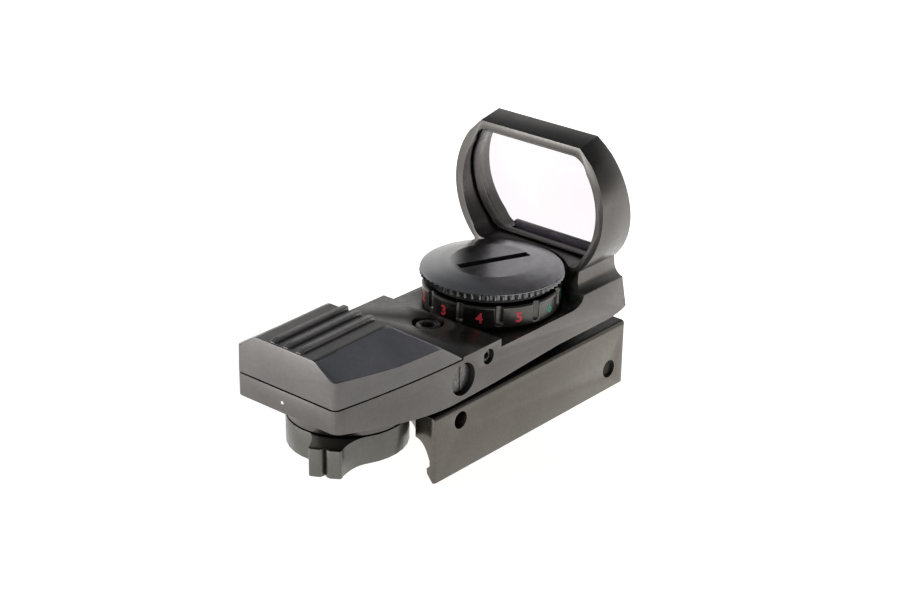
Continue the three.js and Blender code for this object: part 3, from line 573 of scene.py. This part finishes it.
# ---------- pieces that keep their CAD shape, with eased edges ----------
EASED = {
    "main_frame": 0.22, "mount_base": 0.22, "clamp_jaw": 0.22, "selector_knob": 0.28,
    "lens_retainer": 0.08, "pivot_stud": 0.15, "swivel_block": 0.2, "elevation_pin": 0.12,
    "front_clamp_screw": 0.12, "rear_clamp_screw": 0.12,
    "front_clamp_washer": 0.08, "rear_clamp_washer": 0.08,
    "cover_screw_left": 0.08, "cover_screw_right": 0.08, "emitter_window": 0.05, "emitter_board": 0.05,
    "red_green_led": 0.15, "battery_cup": 0.1, "battery_contact": 0.05, "rheostat_board": 0.05,
    "dial_detent_plunger": 0.0, "selector_detent_ball": 0.0, "elevation_screw": 0.1, "windage_screw": 0.16,
    "elevation_lock_screw": 0.1, "dial_wiper": 0.06, "battery_cell": 0.25, "reticle_drum": 0.1,
    "selector_screw": 0.08, "emitter_lead": 0.0, "elevation_spring": 0.0, "windage_spring": 0.0,
    "dial_detent_spring": 0.0, "selector_detent_spring": 0.0, "lens": 0.08,
}
EASED.update({node: 0.02 for node in frame["nodes"] if node.startswith("reticle_mask_")})
# The front clamp screw end, seen deep in its bore, takes the near-black: painted shade.
FINISH = {"windage_screw": "worn_steel", "rheostat_board": "carbon_track", "front_clamp_screw": "painted_shade_dull_black"}
skins = {node: softened(node, width, FINISH.get(node), smooth=60 if width == 0 else 38)
         for node, width in EASED.items()}


def paint_faces(piece, material, chosen):
    """Gives the faces that chosen(centre in mm, normal) picks a finish of their own."""
    mesh = piece.data
    mesh.materials.append(MATERIALS[material])
    for face in mesh.polygons:
        if chosen(face.center / MM, face.normal):
            face.material_index = len(mesh.materials) - 1


def in_bores(bores):
    """Picks the walls of cross bores near the right side, given as (y, z, radius)."""
    least_x, slack = 8, 0.035

    def chosen(centre, normal):
        return abs(normal.x) < 0.5 and centre.x > least_x and any(
            math.hypot(centre.y - y, centre.z - z) < radius + slack for y, z, radius in bores)
    return chosen


def bore_round(node, clearance):
    """Place and radius of the bore that holds a round part lying along X."""
    low, high = box_mm(node)
    return (low.y + high.y) / 2, (low.z + high.z) / 2, (high.z - low.z) / 2 + clearance


def base_top_in_painted_shadow(centre, normal):
    return normal.z > 0.9 and centre.z > 12


# Walls of the cross bores painted near-black: painted shade inside the holes.
paint_faces(skins["main_frame"], "painted_shade_black", in_bores([
    bore_round("windage_screw", 0.3), bore_round("elevation_lock_screw", 0.3)]))
paint_faces(skins["mount_base"], "painted_shade_black", in_bores([
    bore_round("front_clamp_screw", -0.45), bore_round("rear_clamp_screw", -0.6)]))
# Top faces of the base, under the frame, painted near-black: painted shadow.
paint_faces(skins["mount_base"], "painted_shade_dull_black", base_top_in_painted_shadow)


# ---------- rear cover ----------
COVER = {
    "rear": COVER_LOW.y, "nose": COVER_HIGH.y, "crest": -22.6, "level": -27.0, "foot": COVER_LOW.z,
    "rear_half": 12.2, "taper_start": -8.0, "half": 14.9, "corner": 1.0, "wall": 1.4, "draft": 0.15,
    "crown_half": 7.45, "crown_rear_z": 31.15, "crown_z": 31.6, "side_rear_z": 28.35, "side_z": 27.05,
    "nose_z": 23.35, "side_round": 0.35, "crown_round": 2.6, "hollow_nose": -15.8,
}
RIB_PLACES = (-3.4, -0.15, 3.1)


def mix(a, b, t):
    return a + (b - a) * t


def cover_half_width(y):
    """Half width of the cover's foot: a long arc, with the rear corner rounded off."""
    span = COVER["taper_start"] - COVER["rear"]
    loss = COVER["half"] - COVER["rear_half"]
    radius = (span ** 2 + loss ** 2) / (2 * loss)
    back = COVER["taper_start"] - y
    width = COVER["half"] - radius + math.sqrt(radius ** 2 - back ** 2)
    into = COVER["corner"] - (y - COVER["rear"])
    if into > 0:
        width -= COVER["corner"] - math.sqrt(max(0, COVER["corner"] ** 2 - into ** 2))
    return width


def share_of(y, start, end):
    """How far y is from start to end, held between 0 and 1."""
    return max(0, min(1, (y - start) / (end - start)))


def cover_section(y, inset=0.0):
    """Closed outline (x, z) of the cover at y: upright side, broad chamfer, soft edge, flat crown."""
    flat_z = mix(COVER["crown_rear_z"], COVER["crown_z"], share_of(y, COVER["rear"], COVER["crest"]))
    slope_z = mix(COVER["crown_z"], COVER["nose_z"], share_of(y, COVER["crest"], COVER["nose"]))
    side_z = mix(COVER["side_rear_z"], COVER["side_z"], share_of(y, COVER["rear"], COVER["level"]))
    outer_top, outer_side = min(flat_z, slope_z), cover_half_width(y) - COVER["draft"]
    spread = (flat_z - outer_top) / (flat_z - side_z)
    top_z, side_x = outer_top - inset, outer_side - inset
    top_x = min(mix(COVER["crown_half"], outer_side, spread) - inset * 0.5, side_x - 0.3)
    shoulder_z = min(side_z - inset * 0.5, top_z - 0.1)
    foot = (cover_half_width(y) - inset, COVER["foot"] - (1 if inset else 0))
    corners = [foot, (side_x, shoulder_z), (top_x, top_z), (0, top_z)]
    right = [foot]
    right += fillet(corners[0], corners[1], corners[2], COVER["side_round"], 4)
    right += fillet(corners[1], corners[2], corners[3], COVER["crown_round"], 8)
    return right + [(-x, z) for x, z in reversed(right)]


def cover_mesh():
    """Hollow cover with an opening ahead of the emitter window."""
    start, crest, nose = COVER["rear"], COVER["crest"], COVER["nose"]
    turn = mix(crest, nose, (COVER["crown_z"] - COVER["side_z"]) / (COVER["crown_z"] - COVER["nose_z"]))
    stations = [start + step for step in (0, 0.12, 0.3, 0.6, 1.0)]
    level = COVER["level"]
    for low, high, count in ((stations[-1], level, 9), (level, crest, 3), (crest, turn, 5), (turn, nose, 5)):
        stations += [mix(low, high, i / count) for i in range(1, count + 1)]
    outer = loft([[(x, y, z) for x, z in cover_section(y)] for y in stations])
    outer = bevelled(outer, 0.18, angle=55)
    inner_stations = [mix(start + 1.6, COVER["hollow_nose"], i / 12) for i in range(13)]
    inner = loft([[(x, y, z) for x, z in cover_section(y, COVER["wall"])] for y in inner_stations])
    low, high = box_mm("emitter_window")
    opening = block((low.x - 0.3, low.y - 1.8, low.z - 0.3), (high.x + 0.3, high.y + 4.3, high.z + 2.1))
    return carved(outer, [inner, opening])


def cover_rib(x):
    """One grip rib along the crown: rounded top, sloping up from just inside the rear edge."""
    half, rise, root, draft, edge = 0.82, 0.56, -0.7, 0.16, 0.3
    start, end = COVER["rear"] + 0.45, COVER["crest"] + 0.45
    rings = []
    for y in [start, start + 0.35, start + 0.8] + [mix(start + 1.2, end, i / 8) for i in range(9)]:
        top = rise * min(1, 0.15 + 0.85 * (y - start) / 1.2)
        climb = (y - COVER["rear"]) / (COVER["crest"] - COVER["rear"])
        z = mix(COVER["crown_rear_z"], COVER["crown_z"], climb)
        left, right = (-half + draft, top), (half - draft, top)
        outline = [(-half, root)]
        outline += fillet((-half, root), left, right, edge, 4)
        outline += fillet(left, right, (half, root), edge, 4)
        outline += [(half, root)]
        rings.append([(x + u, y, z + v) for u, v in outline])
    return bevelled(loft(rings), 0.1, angle=50)


def cover_posts():
    """Two screw posts hanging inside the cover, and the ledges that carry the emitter board."""
    bore, radius, top = 1.3, 2.05, 27.9
    screw_low, screw_high = box_mm("cover_screw_right")
    screw_x = (screw_low.x + screw_high.x) / 2
    screw_y = (screw_low.y + screw_high.y) / 2
    low, high = box_mm("emitter_board")
    made = []
    for side in (-1, 1):
        profile = [(bore, COVER["foot"]), (radius, COVER["foot"]), (radius, top), (bore, top)]
        made.append(lathe(profile, side * screw_x, screw_y, 32))
        for z0, z1 in ((low.z - 0.5, low.z - 0.3), (high.z + 0.3, high.z + 0.9)):
            inner, outer = side * (high.x - 0.5), side * (high.x + 1.6)
            made.append(block((min(inner, outer), low.y + 1, z0), (max(inner, outer), high.y - 2, z1)))
    return made


def on_chamfer(centre, normal):
    """The cover's two broad chamfers, and not its crown, sides or front slope."""
    return 0.70 < normal.z < 0.95 and 0.3 < abs(normal.x)


shell = add_piece("rear_cover_shell", shade(cover_mesh(), 30), "sight_body", "body_black", "cover_black",
                  ["rear_cover"])
# The chamfer faces take the lighter copy: painted highlight.
paint_faces(shell, "chamfer_painted_highlight", on_chamfer)
for index, rib_x in enumerate(RIB_PLACES):
    add_piece(f"rear_cover_rib_{index + 1}", shade(cover_rib(rib_x)), "sight_body", "body_black", "rib_painted_highlight")
add_piece("rear_cover_posts", shade(joined(cover_posts())), "sight_body", "body_black")


# ---------- brightness dial with its numbers ----------
DIAL_STEP = 360 / 11
FIRST_NOTCH = 21.2
FIRST_NUMBER = -93.0
NUMBERS = ["3", "4", "5", "6", "7", "8", "9", "10", "0", "1", "2"]
NUMBER = {"size": 2.75, "proud": 0.04, "weight": 0.085, "lip": 0.55}


def polar(radius, degrees, centre):
    """Place (x, y) at a radius and heading from a round part's axis."""
    angle = math.radians(degrees)
    return centre["x"] + radius * math.cos(angle), centre["y"] + radius * math.sin(angle)


def dial_mesh():
    """Ring with a proud lip and round-ended flutes."""
    r, z0, z1 = DIAL["r"], DIAL["z0"], DIAL["z1"]
    bore, lip, flute_r = 11.4, 0.14, 0.85
    profile = [
        (bore, z0), (r - 0.15, z0), (r, z0 + 0.15), (r, z1 - 0.78), (r + lip, z1 - 0.66), (r + lip, z1 - 0.3),
        (r - 0.16, z1), (bore + 0.2, z1), (bore, z1 - 0.2),
    ]
    ring = lathe(profile, DIAL["x"], DIAL["y"], 198)
    flutes = []
    for i in range(len(NUMBERS)):
        x, y = polar(r + 0.25, FIRST_NOTCH + i * DIAL_STEP, DIAL)
        dome = [(flute_r * math.sin(math.radians(a)), z0 + 0.45 + flute_r * (1 - math.cos(math.radians(a))))
                for a in range(0, 91, 15)]
        flutes.append(lathe([(0.0001, dome[0][1]), *dome[1:], (flute_r, z1 + 1), (0.0001, z1 + 1)], x, y, 20))
    return bevelled(carved(ring, flutes), 0.07, angle=40)


def number_mesh(text, degrees):
    """A number wrapped round the dial's wall, standing a hair proud of it."""
    curve = bpy.data.curves.new("number", "FONT")
    curve.body = text
    curve.align_x = "CENTER"
    curve.align_y = "CENTER"
    curve.size = NUMBER["size"] * MM
    curve.extrude = NUMBER["proud"] * MM
    curve.offset = NUMBER["weight"] * MM
    holder = bpy.data.objects.new("number", curve)
    SCENE.collection.objects.link(holder)
    depsgraph = bpy.context.evaluated_depsgraph_get()
    mesh = bpy.data.meshes.new_from_object(holder.evaluated_get(depsgraph))
    bpy.data.objects.remove(holder)
    middle = (DIAL["z0"] + DIAL["z1"] - NUMBER["lip"]) / 2 * MM
    for vertex in mesh.vertices:
        radius = DIAL["r"] * MM + vertex.co.z
        angle = math.radians(degrees) + vertex.co.x / radius
        height = middle + vertex.co.y
        x = DIAL["x"] * MM + radius * math.cos(angle)
        y = DIAL["y"] * MM + radius * math.sin(angle)
        vertex.co = (x, y, height)
    return facing_out(mesh)


add_piece("brightness_dial_ring", shade(dial_mesh()), "dial", "dial_black", replaces=["brightness_dial"])
for index, text in enumerate(NUMBERS):
    finish = "mark_white" if text == "0" else "mark_red" if int(text) <= 5 else "mark_green"
    number = number_mesh(text, FIRST_NUMBER + index * DIAL_STEP)
    add_piece(f"dial_number_{text}", number, "dial", "dial_black", finish)


# ---------- battery cap ----------
CAP_TEETH = 60
CAP_TOP = CAP["z1"] - 0.14
KNURL_FOOT = CAP["z0"] + 1.3
KNURL_TOP = CAP["z0"] + 2.6


def cap_mesh():
    """Plug and neck, knurled rim under a plain edge, shallow cone and flat disc."""
    steps = 6
    count = CAP_TEETH * steps
    outer, root, edge = CAP["r"], CAP["r"] - 0.7, CAP["r"] - 0.12
    neck, plug, disc_r = CAP["r"] - 1.6, 9.8, 8.4
    seat, rim, knee, top = CAP["z0"] + 0.4, KNURL_FOOT, KNURL_TOP, CAP_TOP
    tooth = [1.0, 0.7, 0.0, 0.0, 0.0, 0.7]
    plain = [(0.01, CAP["z0"]), (plug, CAP["z0"]), (plug, seat), (neck, seat), (neck, rim - 0.02),
             (root - 0.1, rim)]
    knurl = [(rim + 0.06, 0.3), (rim + 0.26, 1.0), (knee - 0.3, 1.0), (knee - 0.12, 0.75)]
    cone = [(edge - 0.02, knee - 0.06), (edge, knee + 0.02), (edge - 0.12, knee + 0.12)]
    for i in range(1, 11):
        t = i / 10
        crown = 0.10 * math.sin(math.pi * t)
        cone.append((mix(edge - 0.12, disc_r, t), mix(knee + 0.12, top - 0.02, t) + crown))
    disc = [(disc_r - 0.12, top), (7, top), (3, top + 0.02), (0.01, top + 0.02)]

    def ring(radii, z):
        return [(*point, z) for point in circle(radii, CAP["x"], CAP["y"])]

    rings = [ring([r] * count, z) for r, z in plain]
    for z, share in knurl:
        rings.append(ring([root + (outer - root) * tooth[i % steps] * share for i in range(count)], z))
    rings += [ring([r] * count, z) for r, z in cone + disc]
    return loft(rings)


def coin_slot():
    """Cutter for the milled coin slot across the disc."""
    start, end, half_width, depth = -7.3, 8.0, 1.0, 1.1
    heading = math.radians(67)
    corners = ((start, -half_width), (end, -half_width), (end, half_width), (start, half_width))
    outline = [(CAP["x"] + u * math.cos(heading) - v * math.sin(heading),
                CAP["y"] + u * math.sin(heading) + v * math.cos(heading)) for u, v in corners]
    return loft([[(x, y, z) for x, y in outline] for z in (CAP_TOP - depth, CAP_TOP + 2)])


def on_knurl(centre, normal):
    return centre.z < KNURL_TOP - 0.1


def in_shade_of_cap(centre, normal):
    """The plug and neck below the knurl, and the walls of the coin slot."""
    in_slot = math.hypot(centre.x - CAP["x"], centre.y - CAP["y"]) < 8.2
    return centre.z < KNURL_FOOT or abs(normal.z) < 0.3 and in_slot


cap = add_piece("battery_cap_knurled", shade(carved(cap_mesh(), [coin_slot()]), 9), "cap", "cap_black",
                replaces=["battery_cap"])
# Knurl faces get the darker copy: painted shade.
paint_faces(cap, "knurl_painted_shade", on_knurl)
# Plug, neck and coin slot walls painted near-black: painted shade under the rim and in the slot.
paint_faces(cap, "painted_shade_black", in_shade_of_cap)


# ---------- serrated anti-glare sill and index dot ----------


def sill_serration():
    """Comb of fine upright teeth on the rear of the sill lip, leaning with the front face."""
    half, pitch, tooth, low, high = 10.45, 0.42, 0.28, 27.8, 30.06
    front_y, front_z, lean, lip_depth = 38.7, 23.84, 0.226, 1.6
    rings = []
    for z in (low, high):
        back = front_y - lean * (z - front_z) - lip_depth
        ring = []
        for i in range(int(2 * half / pitch)):
            x = -half + i * pitch
            ring.append((x, back - 0.02, z))
            ring.append((x + pitch / 2, back - tooth, z))
        ring += [(half, back - 0.02, z), (half, back + 0.6, z), (-half, back + 0.6, z)]
        rings.append(ring)
    return loft(rings)


def index_dot():
    """White index mark on the rear of the body, above the selector knob."""
    dot_x, dot_z, segments = -0.7, 20.4, 20
    profile = ((0.0001, 0.045), (0.22, 0.04), (0.32, 0.02), (0.36, -0.05))
    return loft([[(x, FRAME_REAR - out, z) for x, z in circle([radius] * segments, dot_x, dot_z)]
                 for radius, out in profile])


# The comb takes the pale colour: painted light.
add_piece("glare_serration", shade(sill_serration(), 20), "sight_body", "body_black", "serration_painted_light")
add_piece("index_dot", shade(index_dot()), "sight_body", "body_black", "mark_white")
